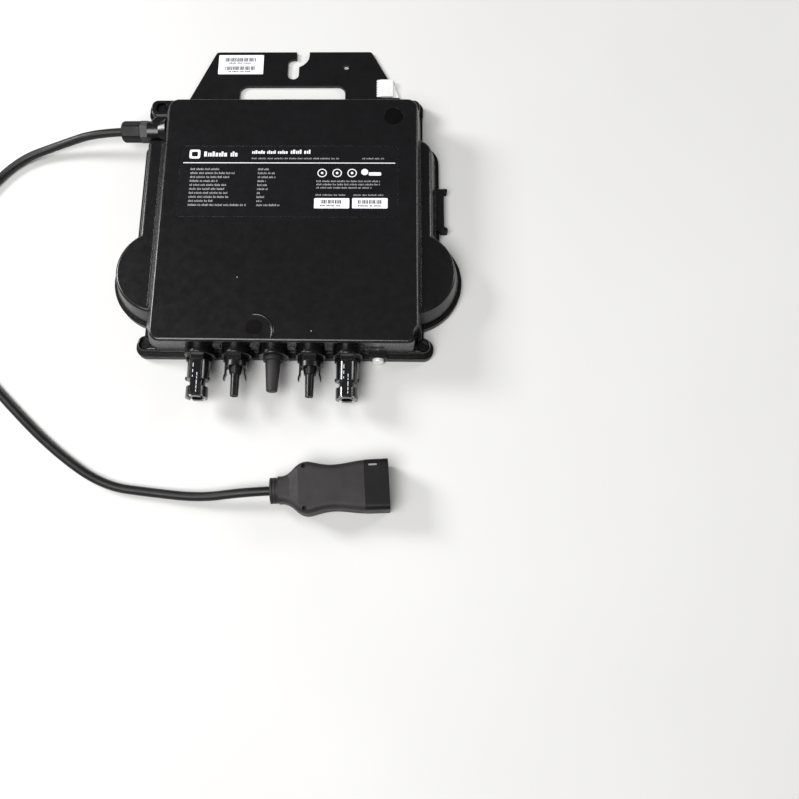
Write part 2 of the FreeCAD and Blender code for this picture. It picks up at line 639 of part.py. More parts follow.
def dc_shell(x):
    """Socket-shell DC connector: collar, round shell with a top key, waist and an end ring."""
    z = FITTING_Z
    out = (0, -1, 0)
    waist, end_ring = -121.0, -126.4
    shell = [hexagon(x, PAD_OUT, z, 16.0, 4.0, out),
             rod(x, PAD_OUT - 4.0, z, SHELL_R, PAD_OUT - 4.0 - waist, out),
             rod(x, waist, z, 5.6, waist - end_ring, out),
             rod(x, end_ring, z, SHELL_R, end_ring - SHELL_END, out),
             rod(x, PAD_OUT, z, 6.3, 14.0, (0, 1, 0))]
    key = [box(x - 3.4, x + 3.4, SHELL_END + 0.8, PAD_OUT - 4.4, z + 5.0, z + SHELL_R + 0.2)]
    barbs = [box(x - SHELL_R - 0.8, x + SHELL_R + 0.8, waist, waist + 2.2, z - 1.6, z + 1.6)]
    spine = [box(x - 1.0, x + 1.0, end_ring, waist, z - 6.8, z + 6.8)]
    bore = rod(x, SHELL_END - 1, z, 4.4, 26.0, (0, 1, 0))
    back = rod(x, SHELL_END + 24, z, 1.9, 60.0, (0, 1, 0))
    windows = [box(x + s * 6.0 - 2.6, x + s * 6.0 + 2.6, -118.2, -112.6, z - 1.4, z + 1.4) for s in (-1, 1)]
    nicks = [box(x + s * 4.6 - 0.9, x + s * 4.6 + 0.9, SHELL_END - 1, SHELL_END + 1.3, z - 9, z + 9)
             for s in (-1, 1)]
    return fuse(shell + key + barbs + spine).cut(Part.makeCompound([bore, back] + windows + nicks))


def dc_pin(x):
    z = FITTING_Z
    pin = rod(x, SHELL_END + 7.0, z, 1.5, 10.0, (0, 1, 0))
    barrel = rod(x, SHELL_END + 17.0, z, 1.9, 36.0, (0, 1, 0))
    return pin.fuse(barrel)


def dc_probe(x):
    """Probe DC connector: collar, round body with two finger slots, stepped nose."""
    z = FITTING_Z
    out = (0, -1, 0)
    collar = hexagon(x, PAD_OUT, z, 16.0, 4.0, out)
    body = rod(x, PAD_OUT - 4.0, z, 8.0, 4.0, out)
    neck = Part.makeCone(5.0, 4.2, 5.0, Vector(x, PAD_OUT - 8.0, z), Vector(*out))
    nose = Part.makeCone(3.3, 2.9, abs(PROBE_END) - abs(PAD_OUT) - 13.0, Vector(x, PAD_OUT - 13.0, z),
                         Vector(*out))
    stem = rod(x, PAD_OUT, z, 6.3, 14.0, (0, 1, 0))
    bore = rod(x, PROBE_END - 1, z, 1.9, 70.0, (0, 1, 0))
    slots = [box(x + s * 7.0 - 1.2, x + s * 7.0 + 1.2, PAD_OUT - 9.0, PAD_OUT - 5.0, z - 2.6, z + 2.6)
             for s in (-1, 1)]
    return fuse([collar, body, neck, nose, stem]).cut(Part.makeCompound([bore] + slots))


def dc_contact(x):
    return ring(x, PROBE_END + 0.8, FITTING_Z, 1.88, 1.2, 52.0, (0, 1, 0))


def finger(x, side):
    """Sprung latch finger beside the probe, with a hooked tip that points outward."""
    root = PAD_OUT - 5.6
    tip = root - 12.2
    outline = [(FINGER_X - 0.7, root), (FINGER_X + 0.7, root), (FINGER_X + 0.7, root - 7.4),
               (FINGER_X + 1.4, root - 9.6), (FINGER_X + 1.4, tip), (FINGER_X + 0.4, tip),
               (FINGER_X + 0.1, root - 9.4), (FINGER_X - 0.7, root - 7.4)]
    points = [(x + side * u, v) for u, v in outline]
    return polygon(points, FITTING_Z - 2.0, FITTING_Z + 2.0)


def antenna_boot():
    """Tapering rubber sleeve over the radio antenna, in the middle of the row."""
    x, z = BOOT_X, FITTING_Z
    sleeve = Part.makeCone(5.9, 4.0, abs(BOOT_END) - abs(PAD_OUT), Vector(x, PAD_OUT, z), Vector(0, -1, 0))
    sleeve = sleeve.makeFillet(0.8, [e for e in sleeve.Edges if abs(e.CenterOfMass.y - BOOT_END) < 0.01])
    collar = rod(x, PAD_OUT - 3.0, z, 7.2, 3.0, (0, 1, 0))
    stem = rod(x, PAD_OUT, z, 4.9, 9.0, (0, 1, 0))
    bore = rod(x, BOOT_END + 2.0, z, 2.5, 60.0, (0, 1, 0))
    return fuse([sleeve, collar, stem]).cut(bore)


def antenna():
    return rod(BOOT_X, BOOT_END + 2.5, FITTING_Z, 2.4, 40.0, (0, 1, 0))


def wall_nuts():
    """Lock nuts on the inside of the bottom wall, one per DC fitting."""
    nuts = []
    for x in SHELL_X + PROBE_X:
        nut = hexagon(x, -92.4, FITTING_Z, 16.0, 2.8, (0, 1, 0))
        nuts.append(nut.cut(rod(x, -93, FITTING_Z, 6.32, 6, (0, 1, 0))))
    return Part.makeCompound(nuts)


# ---------------------------------------------------------------- inside

def circuit_board():
    board = slab(*BOARD, 4.0, BOARD_Z, BOARD_Z + BOARD_T)
    return board.cut(Part.makeCompound([rod(x, y, BOARD_Z - 1, 1.6, 4) for x, y in STANDOFFS]))


def standoffs():
    posts = []
    for x, y in STANDOFFS:
        posts.append(rod(x, y, PLATE, 3.0, BOARD_Z - PLATE).fuse(rod(x, y, BOARD_Z, 1.55, 3.0)))
    return Part.makeCompound(posts)


def transformer_core(x):
    """Two E halves: top and bottom yokes joined by side legs round the winding."""
    y, z = 10.0, BOARD_TOP
    block = box(x - 20, x + 20, y - 14, y + 14, z, z + 23)
    window = box(x - 15, x + 15, y - 15, y + 15, z + 5, z + 18)
    leg = rod(x, y, z + 4, 6.5, 15)
    return block.cut(window).fuse(leg)


def transformer_winding(x):
    return ring(x, 10.0, BOARD_TOP + 5.2, 14.4, 6.6, 12.6)


def input_capacitors():
    cans = [rod(x, y, BOARD_TOP, 6.2, 22) for x in (-66, -52, -38, 38, 52, 66) for y in (-64.0, -50.0)]
    return Part.makeCompound(cans)


def film_capacitors():
    blocks = [box(x - 13, x + 13, 46.0, 56.0, BOARD_TOP, BOARD_TOP + 18) for x in (-60.0, -28.0, 4.0)]
    return Part.makeCompound(blocks)


def power_transistors():
    chips = [box(x - 5, x + 5, -30.0, -15.0, BOARD_TOP, BOARD_TOP + 4.4) for x in TRANSISTORS_X]
    return Part.makeCompound(chips)


def relays():
    blocks = [box(x - 9, x + 9, 64.0, 80.0, BOARD_TOP, BOARD_TOP + 15) for x in (-62.0, -36.0)]
    return Part.makeCompound(blocks)


def ring_choke(side):
    """Wound ring core lying flat inside each side lobe."""
    return Part.makeTorus(12.2, 4.7, Vector(side * 99.5, LOBE_Y, 16.6))


def radio_board():
    return box(-16.0, 4.0, -80.0, -79.0, BOARD_TOP, 30.0)


def light_pipe():
    return rod(*LENS, BOARD_TOP, 1.9, FACE - 0.95 - BOARD_TOP)


def thermal_pads():
    pads = [box(x - 6, x + 6, -32.0, -13.0, PLATE, BOARD_Z) for x in TRANSISTORS_X]
    return Part.makeCompound(pads)


def bent_wire(points, radius):
    """Insulated wire as straight pieces with ball corners."""
    pts = [Vector(*p) for p in points]
    pieces = [Part.makeCylinder(radius, (b - a).Length, a, b - a) for a, b in zip(pts, pts[1:])]
    pieces += [Part.makeSphere(radius, p) for p in pts[1:-1]]
    return fuse(pieces)


def dc_wires():
    wires = []
    for x in SHELL_X + PROBE_X:
        far = -73.0 if x in SHELL_X else -75.0
        wires.append(bent_wire([(x, -79.4, FITTING_Z), (x, far, FITTING_Z), (x, far, BOARD_TOP)], 1.6))
    return Part.makeCompound(wires)


def ac_wires():
    wires = []
    for i, y in enumerate((GLAND_Y - 4.0, GLAND_Y, GLAND_Y + 4.0)):
        far = -80.0 + 5.0 * i
        wires.append(bent_wire([(-89.0, y, GLAND_Z), (far, y, GLAND_Z), (far, y, BOARD_TOP)], 1.1))
    return Part.makeCompound(wires)


def potting(parts_inside):
    """Resin that fills the bottom of the main housing round everything that stands in it."""
    pool = slab(-95.4, 97.8, -88.4, 98.4, 5.0, PLATE, 16.0)
    return pool.cut(Part.makeCompound(parts_inside))


# ---------------------------------------------------------------- write the nodes

inside = {
    "circuit_board": circuit_board(),
    "board_standoffs": standoffs(),
    "thermal_pads": thermal_pads(),
    "input_capacitors": input_capacitors(),
    "film_capacitors": film_capacitors(),
    "power_transistors": power_transistors(),
    "relays": relays(),
    "radio_board": radio_board(),
    "light_pipe": light_pipe(),
    "dc_wires": dc_wires(),
    "ac_wires": ac_wires(),
}
for side, x in zip(("left", "right"), TRANSFORMERS_X):
    inside["transformer_core_" + side] = transformer_core(x)
    inside["transformer_winding_" + side] = transformer_winding(x)
for side, sign in (("left", -1), ("right", 1)):
    inside["ring_choke_" + side] = ring_choke(sign)

outside = {
    "back_plate": back_plate(),
    "cover": cover(),
    "cover_gasket": gasket_ring(4.3, 5.9, PLATE - 1.2, PLATE),
    "bracket": bracket(),
    "bracket_screws": Part.makeCompound([bracket_screw(x, y) for x, y in BRACKET_SCREWS]),
    "cover_screws": Part.makeCompound(cover_screws()),
    "earthing_clip": earthing_clip(),
    "earthing_screw": earth_screw(),
    "rating_label": rating_label(),
    "serial_label": slab(*SERIAL, 0.8, SHEET, SHEET + 0.2),
    "side_clip": side_clip(),
    "vent_plug": vent_plug(),
    "status_lens": rod(*LENS, FACE - 0.9, LENS_R - 0.1, 0.7),
    "gland_body": gland_body(),
    "gland_nut": gland_nut(),
    "gland_seal": gland_seal(),
    "ac_lead": lead(),
    "antenna_boot": antenna_boot(),
    "antenna": antenna(),
    "wall_nuts": wall_nuts(),
}
connector = {
    "plug_collar": plug_collar(),
    "plug_body": plug_body(),
    "plug_screws": plug_screws(),
    "plug_shroud": plug_shroud(),
    "plug_core": plug_core(),
    "plug_contacts": plug_contacts(),
    "plug_seal": plug_seal(),
    "plug_latches": plug_latches(),
}
for name, shape in connector.items():
    outside[name] = place_plug(shape)
for side, shell_x, probe_x in zip(("left", "right"), SHELL_X, PROBE_X):
    outside["dc_shell_" + side] = dc_shell(shell_x)
    outside["dc_pin_" + side] = dc_pin(shell_x)
    outside["dc_probe_" + side] = dc_probe(probe_x)
    outside["dc_contact_" + side] = dc_contact(probe_x)
    for end, sign in (("a", -1), ("b", 1)):
        outside["finger_" + side + "_" + end] = finger(probe_x, sign)

for name, shape in {**outside, **inside}.items():
    save(name, shape)
neighbours = [outside[name] for name in ("cover", "back_plate", "gland_body", "wall_nuts")]
save("potting", potting(list(inside.values()) + neighbours))
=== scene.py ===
import json
import math

import bmesh
import bpy
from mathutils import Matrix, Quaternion, Vector


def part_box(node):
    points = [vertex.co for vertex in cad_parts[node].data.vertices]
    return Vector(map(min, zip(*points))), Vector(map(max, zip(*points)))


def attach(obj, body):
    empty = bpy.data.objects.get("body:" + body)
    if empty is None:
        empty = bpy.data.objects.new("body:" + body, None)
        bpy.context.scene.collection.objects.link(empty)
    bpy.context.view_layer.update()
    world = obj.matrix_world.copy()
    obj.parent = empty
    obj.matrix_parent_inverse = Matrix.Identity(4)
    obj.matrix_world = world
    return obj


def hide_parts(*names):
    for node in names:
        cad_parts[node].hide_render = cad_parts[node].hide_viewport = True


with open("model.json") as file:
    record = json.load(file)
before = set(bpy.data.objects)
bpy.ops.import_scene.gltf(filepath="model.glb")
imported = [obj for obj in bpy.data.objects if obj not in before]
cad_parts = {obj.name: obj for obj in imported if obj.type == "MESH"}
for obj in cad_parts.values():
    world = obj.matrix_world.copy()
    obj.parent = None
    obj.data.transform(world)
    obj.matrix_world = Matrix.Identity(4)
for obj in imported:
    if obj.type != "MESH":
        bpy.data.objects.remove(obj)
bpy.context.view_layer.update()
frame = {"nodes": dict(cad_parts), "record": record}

# Micro inverter lying on its back on a pale floor. Everything is in metres, in the frame of the CAD part.
MM = 0.001

# Camera: where it stands, what its axis meets, and how far it is rolled
EYE = Vector((0.06507, -0.28597, 0.56368))
AIM = Vector((0.04575, -0.12843, 0.0))
ROLL = math.radians(-6.05)
SENSOR = 36.0
LENS_LENGTH = 36.05
SIDE_SHIFT = 0.068

# AC lead: its diameter and the points that it is led round
LEAD_DIAMETER = 6.5 * MM
LEAD_ROUTE = [
    (-0.1220, 0.0821, 0.0200),
    (-0.1520, 0.0821, 0.0200),
    (-0.1870, 0.0780, 0.0080),
    (-0.2220, 0.0665, 0.0036),
    (-0.2495, 0.0300, 0.0033),
    (-0.2580, -0.0150, 0.00345),
    (-0.2560, -0.0600, 0.0033),
    (-0.2375, -0.1000, 0.0034),
    (-0.2050, -0.1330, 0.0033),
    (-0.1660, -0.1690, 0.0034),
    (-0.1260, -0.1955, 0.0033),
    (-0.0880, -0.2000, 0.0034),
    (-0.0540, -0.2033, 0.0062),
    (-0.0244, -0.1997, 0.0114),
    (-0.0044, -0.1985, 0.0120),
]

# Every surface: radius of its eased edges, and roughness of its clear coat where it has one
EDGE_RADIUS = 0.25 * MM
COAT_ROUGHNESS = 0.12

# Floor: half its side, how far it lies under the object, and its finish; then the light from all round
FLOOR_HALF_SIDE = 4.0
FLOOR_DROP = 0.05 * MM
FLOOR_FINISH = dict(dark=(0.62, 0.617, 0.610), light=(0.65, 0.647, 0.640), rough=(0.6, 0.8), grain=2 * MM,
                    relief=0.01 * MM, mottle=0.4)
SKY_COLOUR = (1.0, 0.99, 0.98, 1.0)
SKY_STRENGTH = 0.14

# Lamps: name, place, what each points at, size and power
LAMPS = [("key", (-0.45, -0.75, 1.7), (0, 0, 0), (1.1, 1.1), 36.0),
         ("left", (-1.2, 0.42, 0.85), (-0.05, 0, 0), (0.45, 0.45), 20.0),
         ("right", (1.3, 0.6, 0.8), (0.05, 0, 0), (0.5, 0.5), 7.0)]

# Printing on the labels: thickness of the ink and the widths of its stand-in letters, in turn
INK = 0.04 * MM
LETTER_WIDTHS = (1.1, 0.7, 0.9, 1.2, 0.6, 0.8, 1.0)
WORD_LENGTHS = (4, 7, 5, 8, 3, 6)

# Rating label: rule, plain badge, and ringed dots, in millimetres; a rounded box ends with its corner radius
RULE = (-77.8, 80.5, 42.7, 43.4)
BADGE_OUTER = (-73.6, -65.4, 46.6, 54.2, 1.6)
BADGE_INNER = (-71.8, -67.2, 48.4, 52.4, 1.0)
RING_X = (26.5, 37.6, 48.7)
RING_Y = 34.7
RING_OUTER_R = 3.5
RING_INNER_R = 2.8
DOT_R = 1.0
DOT_CORNERS = 16
STICKERS = [(21.2, 47.1, 5.5, 13.9, 0.8), (49.1, 75.1, 5.6, 14.1, 0.8)]
SPOT = (58.0, 35.6, 2.6)
SPOT_BAR = (61.0, 70.2, 32.6, 35.4, 0.8)

# Stroke codes: ends and first stroke on the small stickers, then foot and first stroke on the bracket label
STICKER_CODES = ((25.5, 41.5, 0), (53.5, 71.0, 3))
STICKER_STROKES = (9.4, 12.4)
STICKER_WORDS_FOOT = 7.2
CODE_WORD_HEIGHT = 1.2
SERIAL_CODES = ((160.8, 1), (152.6, 4))
SERIAL_STROKES_ENDS = (-59.5, -34.0)
SERIAL_STROKE = 3.6
SERIAL_WORDS_ENDS = (-56.5, -38.0)
SERIAL_WORDS_DROP = 2.0

# Lines of stand-in words: left, right, foot, height, first letter and letter width
HEADINGS = [(-62.5, -36.5, 48.4, 4.2, 3, 2.4), (-26.5, 1.0, 50.8, 2.8, 1, 1.6), (2.5, 18.5, 50.8, 3.4, 2, 1.9)]
SUBHEADINGS = [(-26.5, 40.0, 46.2, 1.3, 0, 1.0), (56.0, 72.5, 46.2, 1.3, 4, 1.0)]
NOTICE_LINES = [(22.4, 70.0, 27.2, 1.4, 0, 0.9), (22.4, 69.5, 24.5, 1.4, 2, 0.9),
                (22.4, 63.5, 21.8, 1.4, 4, 0.9)]
STICKER_TITLES = [(22.0, 45.5, 15.9, 1.3, 2, 1.0), (50.0, 73.5, 15.9, 1.3, 5, 1.0)]

# Rows of figures on the rating label: both columns' left ends, the first row's foot, and each row's right ends
FIRST_COLUMN = -71.8
SECOND_COLUMN = -21.3
ROW_TOP = 36.9
ROW_PITCH = 3.3
ROW_HEIGHT = 1.7
SMALL_SCALE = 0.9
ROW_ENDS = [(-50.0, -13.0), (-38.5, -7.5), (-42.0, -7.5), (-50.5, -14.5), (-44.0, -13.5), (-45.5, -12.5),
            (-42.5, -18.5), (-42.0, -15.5), (-53.5, -17.0), (-28.5, -4.0)]

# The dashes at -2.2 are a painted highlight; the dashes at 0.9 are printed marks.
# Broken lines on the DC shells: offset from the middle, start from the open end, and length
SHELL_HIGHLIGHT_AND_PRINT_DASHES = [(-2.2, 13.6, 1.4), (-2.2, 17.0, 2.2), (-2.2, 21.0, 3.0), (0.9, 2.6, 1.6), (0.9, 5.0, 2.2),
                (0.9, 8.0, 3.4), (0.9, 12.4, 1.4), (0.9, 14.6, 2.4)]


def make_camera():
    """The camera, looking down at the object from in front."""
    data = bpy.data.cameras.new("camera")
    data.sensor_width = SENSOR
    data.lens = LENS_LENGTH
    data.shift_x = SIDE_SHIFT
    data.clip_start = 0.01
    data.clip_end = 20.0
    camera = bpy.data.objects.new("camera", data)
    camera.location = EYE
    camera.rotation_mode = "QUATERNION"
    turn = Quaternion((0.0, 0.0, 1.0), ROLL)
    camera.rotation_quaternion = (AIM - EYE).to_track_quat("-Z", "Y") @ turn
    bpy.context.scene.collection.objects.link(camera)
    bpy.context.scene.camera = camera


def make_lead():
    """The AC lead as one smooth curve from the gland to the connector."""
    curve = bpy.data.curves.new("ac_lead_cord", "CURVE")
    curve.dimensions = "3D"
    curve.bevel_depth = 1.0
    curve.bevel_resolution = 8
    curve.resolution_u = 16
    curve.use_fill_caps = True
    spline = curve.splines.new("NURBS")
    spline.points.add(len(LEAD_ROUTE) - 1)
    # A curve's bounding box grows by the radius of its points, so the points carry the thickness
    for point, place in zip(spline.points, LEAD_ROUTE):
        point.co = (*place, 1.0)
        point.radius = LEAD_DIAMETER / 2
    spline.order_u = 3
    spline.use_endpoint_u = True
    lead = bpy.data.objects.new("ac_lead_cord", curve)
    bpy.context.scene.collection.objects.link(lead)
    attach(lead, "housing")
    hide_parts("ac_lead")
    return lead


# ---------------------------------------------------------------- materials


def link(tree, source, output, target, socket):
    """Join an output of one node to an input of another."""
    tree.links.new(source.outputs[output], target.inputs[socket])


def noise(tree, place, size, detail=3.0, roughness=0.55):
    """Noise whose features are about this size, in metres."""
    node = tree.nodes.new("ShaderNodeTexNoise")
    node.inputs["Scale"].default_value = 1.0 / size
    node.inputs["Detail"].default_value = detail
    node.inputs["Roughness"].default_value = roughness
    link(tree, place, "Object", node, "Vector")
    return node


def spread(tree, source, output, low, high):
    """Stretch a 0.3 to 0.7 signal to run from low to high."""
    node = tree.nodes.new("ShaderNodeMapRange")
    node.inputs["From Min"].default_value = 0.3
    node.inputs["From Max"].default_value = 0.7
    node.inputs["To Min"].default_value = low
    node.inputs["To Max"].default_value = high
    link(tree, source, output, node, "Value")
    return node


def tint(tree, source, output, dark, light):
    """Colour that drifts between two near shades."""
    node = tree.nodes.new("ShaderNodeValToRGB")
    node.color_ramp.elements[0].position = 0.32
    node.color_ramp.elements[1].position = 0.68
    node.color_ramp.elements[0].color = (*dark, 1.0)
    node.color_ramp.elements[1].color = (*light, 1.0)
    link(tree, source, output, node, "Fac")
    return node


def finish(name, dark, light, rough, grain=0.5 * MM, relief=0.02 * MM, mottle=18 * MM, metal=0.0, coat=0.0,
           shine=0.5, rub=None):
    """Moulded, painted or cast surface: drifting colour, uneven gloss, fine grain and eased edges."""
    material = bpy.data.materials.new(name)
    material.use_nodes = True
    tree = material.node_tree
    shader = tree.nodes["Principled BSDF"]
    shader.inputs["Metallic"].default_value = metal
    shader.inputs["Coat Weight"].default_value = coat
    shader.inputs["Coat Roughness"].default_value = COAT_ROUGHNESS
    shader.inputs["Specular IOR Level"].default_value = shine
    place = tree.nodes.new("ShaderNodeTexCoord")
    broad = noise(tree, place, mottle, 4.0)
    colour = tint(tree, broad, "Fac", dark, light)
    gloss = spread(tree, noise(tree, place, mottle * 0.35, 5.0), "Fac", *rough)
    link(tree, gloss, "Result", shader, "Roughness")
    eased = tree.nodes.new("ShaderNodeBevel")
    eased.samples = 4
    eased.inputs["Radius"].default_value = EDGE_RADIUS
    bump = tree.nodes.new("ShaderNodeBump")
    bump.inputs["Distance"].default_value = relief
    bump.inputs["Strength"].default_value = 1.0
    link(tree, noise(tree, place, grain, 2.0), "Fac", bump, "Height")
    link(tree, eased, "Normal", bump, "Normal")
    link(tree, bump, "Normal", shader, "Normal")
    if rub is None:
        link(tree, colour, "Color", shader, "Base Color")
    else:
        link(tree, rubbed(tree, place, eased, colour, rub), "Color", shader, "Base Color")
    return material


def rubbed(tree, place, eased, colour, shade):
    """Mix in a lighter shade where the edges have been handled."""
    plain = tree.nodes.new("ShaderNodeNewGeometry")
    angle = tree.nodes.new("ShaderNodeVectorMath")
    angle.operation = "DOT_PRODUCT"
    link(tree, eased, "Normal", angle, 0)
    link(tree, plain, "Normal", angle, 1)
    worn = tree.nodes.new("ShaderNodeMapRange")
    worn.inputs["From Min"].default_value = 0.995
    worn.inputs["From Max"].default_value = 0.85
    worn.inputs["To Max"].default_value = 0.7
    link(tree, angle, "Value", worn, "Value")
    patchy = tree.nodes.new("ShaderNodeMath")
    patchy.operation = "MULTIPLY"
    link(tree, worn, "Result", patchy, 0)
    link(tree, spread(tree, noise(tree, place, 3 * MM, 4.0), "Fac", 0.0, 1.0), "Result", patchy, 1)
    mix = tree.nodes.new("ShaderNodeMixRGB")
    mix.inputs["Color2"].default_value = (*shade, 1.0)
    link(tree, patchy, "Value", mix, "Fac")
    link(tree, colour, "Color", mix, "Color1")
    return mix


FINISHES = {
    "black_cast": dict(dark=(0.0016, 0.0016, 0.0018), light=(0.0026, 0.0026, 0.0029), rough=(0.32, 0.44),
                       shine=0.25, grain=0.7 * MM, relief=0.04 * MM, rub=(0.018, 0.018, 0.02)),
    "black_cover": dict(dark=(0.0032, 0.0028, 0.0034), light=(0.0042, 0.0037, 0.0045), rough=(0.24, 0.31),
                        grain=0.35 * MM, relief=0.006 * MM, rub=(0.010, 0.010, 0.012)),
    "black_sheet": dict(dark=(0.0032, 0.0030, 0.0036), light=(0.0046, 0.0043, 0.0051), rough=(0.28, 0.36),
                        shine=0.4, grain=0.9 * MM, relief=0.02 * MM, rub=(0.03, 0.03, 0.033)),
    "gasket": dict(dark=(0.0008, 0.0008, 0.0009), light=(0.0016, 0.0016, 0.0018), rough=(0.8, 0.95),
                   shine=0.08),
    "steel": dict(dark=(0.84, 0.84, 0.83), light=(0.94, 0.94, 0.93), rough=(0.32, 0.45), metal=0.25,
                  grain=0.25 * MM, relief=0.01 * MM, mottle=4 * MM),
    "label": dict(dark=(0.0032, 0.0030, 0.0040), light=(0.0042, 0.0039, 0.0050), rough=(0.25, 0.32),
                  grain=0.2 * MM, relief=0.004 * MM),
    "white_label": dict(dark=(0.76, 0.77, 0.80), light=(0.86, 0.86, 0.89), rough=(0.45, 0.6),
                        grain=0.15 * MM, relief=0.004 * MM, mottle=8 * MM),
    "grey_ink": dict(dark=(0.22, 0.22, 0.235), light=(0.31, 0.31, 0.33), rough=(0.5, 0.65),
                     grain=0.12 * MM, relief=0.004 * MM, mottle=5 * MM),
    "black_gloss": dict(dark=(0.004, 0.004, 0.0048), light=(0.007, 0.007, 0.008), rough=(0.14, 0.22),
                        grain=0.6 * MM, relief=0.02 * MM, coat=0.4),
    "satin_black": dict(dark=(0.003, 0.003, 0.0036), light=(0.005, 0.005, 0.0058), rough=(0.26, 0.34),
                        shine=0.35, grain=0.5 * MM, relief=0.015 * MM),
    "black_nylon": dict(dark=(0.004, 0.004, 0.0046), light=(0.007, 0.007, 0.0078), rough=(0.40, 0.52),
                        shine=0.18, grain=0.5 * MM, relief=0.015 * MM),
    "grey_nylon": dict(dark=(0.030, 0.030, 0.033), light=(0.045, 0.045, 0.048), rough=(0.40, 0.52),
                       shine=0.25, grain=0.5 * MM, relief=0.015 * MM),
    "lens": dict(dark=(0.003, 0.0027, 0.0027), light=(0.006, 0.005, 0.005), rough=(0.12, 0.20), shine=0.4,
                 grain=0.8 * MM, relief=0.004 * MM),
    "lead_jacket": dict(dark=(0.004, 0.004, 0.0046), light=(0.008, 0.008, 0.0088), rough=(0.36, 0.50),
                        shine=0.35, grain=0.8 * MM, relief=0.03 * MM),
    "grey_rubber": dict(dark=(0.012, 0.0102, 0.0112), light=(0.019, 0.0165, 0.0178), rough=(0.52, 0.68),
                        shine=0.4, grain=0.5 * MM, relief=0.03 * MM),
    "contact": dict(dark=(0.75, 0.72, 0.66), light=(0.88, 0.85, 0.80), rough=(0.15, 0.3), metal=1.0),
    "pale_latch": dict(dark=(0.16, 0.16, 0.17), light=(0.24, 0.24, 0.25), rough=(0.4, 0.6)),
    "board": dict(dark=(0.01, 0.07, 0.03), light=(0.015, 0.10, 0.045), rough=(0.3, 0.45)),
    "ferrite": dict(dark=(0.03, 0.03, 0.032), light=(0.05, 0.05, 0.052), rough=(0.5, 0.7)),
    "winding": dict(dark=(0.45, 0.18, 0.08), light=(0.60, 0.26, 0.12), rough=(0.25, 0.4), metal=1.0),
    "component": dict(dark=(0.02, 0.02, 0.022), light=(0.035, 0.035, 0.037), rough=(0.4, 0.6)),
    "capacitor": dict(dark=(0.03, 0.03, 0.08), light=(0.04, 0.04, 0.11), rough=(0.3, 0.5)),
    "resin": dict(dark=(0.012, 0.012, 0.013), light=(0.02, 0.02, 0.022), rough=(0.2, 0.4)),
    "pad": dict(dark=(0.30, 0.32, 0.36), light=(0.38, 0.40, 0.44), rough=(0.6, 0.8)),
    "wire": dict(dark=(0.02, 0.02, 0.02), light=(0.03, 0.03, 0.03), rough=(0.4, 0.5)),
}
MATERIALS = {slot: finish(slot, **facts) for slot, facts in FINISHES.items()}

# Nodes that have a duller finish than the rest of their slot
DULLER = {"dc_probe_left": "satin_black", "dc_probe_right": "satin_black"}


def dress_nodes():
    """Give every CAD node the finish of its record slot."""
    for part in frame["record"]["subparts"]:
        mesh = frame["nodes"][part["node"]].data
        mesh.materials.clear()
        mesh.materials.append(MATERIALS[DULLER.get(part["node"], part["material_slot"])])


# ---------------------------------------------------------------- thin printed and raised details


def piece(name, bm, slot_name, finish_name=None):
    """Turn a bmesh into a named piece that rides on the housing, in its slot's finish or in another one."""
    mesh = bpy.data.meshes.new(name)
    bmesh.ops.recalc_face_normals(bm, faces=bm.faces)
    bm.to_mesh(mesh)
    bm.free()
    obj = bpy.data.objects.new(name, mesh)
    bpy.context.scene.collection.objects.link(obj)
    mesh.materials.append(MATERIALS[finish_name or slot_name])
    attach(obj, "housing")
    return obj


def prism(bm, outline, low, high):
    """Closed prism over an outline of (x, y) points in millimetres, from one height to another in metres."""
    bottom = [bm.verts.new((x * MM, y * MM, low)) for x, y in outline]
    top = [bm.verts.new((x * MM, y * MM, high)) for x, y in outline]
    bm.faces.new(bottom[::-1])
    bm.faces.new(top)
    count = len(outline)
    for i in range(count):
        j = (i + 1) % count
        bm.faces.new((bottom[i], bottom[j], top[j], top[i]))


def bar(bm, x0, x1, y0, y1, low, high):
    """Closed block over a rectangle."""
    prism(bm, [(x0, y0), (x1, y0), (x1, y1), (x0, y1)], low, high)


def rounded(x0, x1, y0, y1, r, steps=5):
    """Outline of a rectangle with round corners."""
    outline = []
    corners = ((x1 - r, y0 + r, -90), (x1 - r, y1 - r, 0), (x0 + r, y1 - r, 90), (x0 + r, y0 + r, 180))
    for cx, cy, start in corners:
        for i in range(steps + 1):
            angle = math.radians(start + 90 * i / steps)
            outline.append((cx + r * math.cos(angle), cy + r * math.sin(angle)))
    return outline


def circle(x, y, r, count=32):
    """Outline of a circle."""
    angles = [math.tau * i / count for i in range(count)]
    return [(x + r * math.cos(angle), y + r * math.sin(angle)) for angle in angles]


def band(bm, outer, inner, low, high):
    """Closed ring between two outlines that have the same number of points."""
    rings = [[bm.verts.new((x * MM, y * MM, z)) for x, y in outline]
             for outline, z in ((outer, low), (outer, high), (inner, high), (inner, low))]
    count = len(outer)
    for a, b in zip(rings, rings[1:] + rings[:1]):
        for i in range(count):
            j = (i + 1) % count
            bm.faces.new((a[i], a[j], b[j], b[i]))


def stand_in_words(bm, x0, x1, y, height, low, start=0, scale=1.0):
    """A line of small blocks, grouped like words, that stands in for small print."""
    x = x0
    letter = start
    word = start
    left = WORD_LENGTHS[word % len(WORD_LENGTHS)]
    while True:
        width = LETTER_WIDTHS[letter % len(LETTER_WIDTHS)] * scale
        if x + width > x1:
            return
        tall = 1.0 if letter % 3 == 0 else 0.74
        bar(bm, x, x + width * 0.72, y, y + height * tall, low, low + INK)
        x += width
        letter += 1
        left -= 1
        if left == 0:
            word += 1
            left = WORD_LENGTHS[word % len(WORD_LENGTHS)]
            x += 0.8 * scale


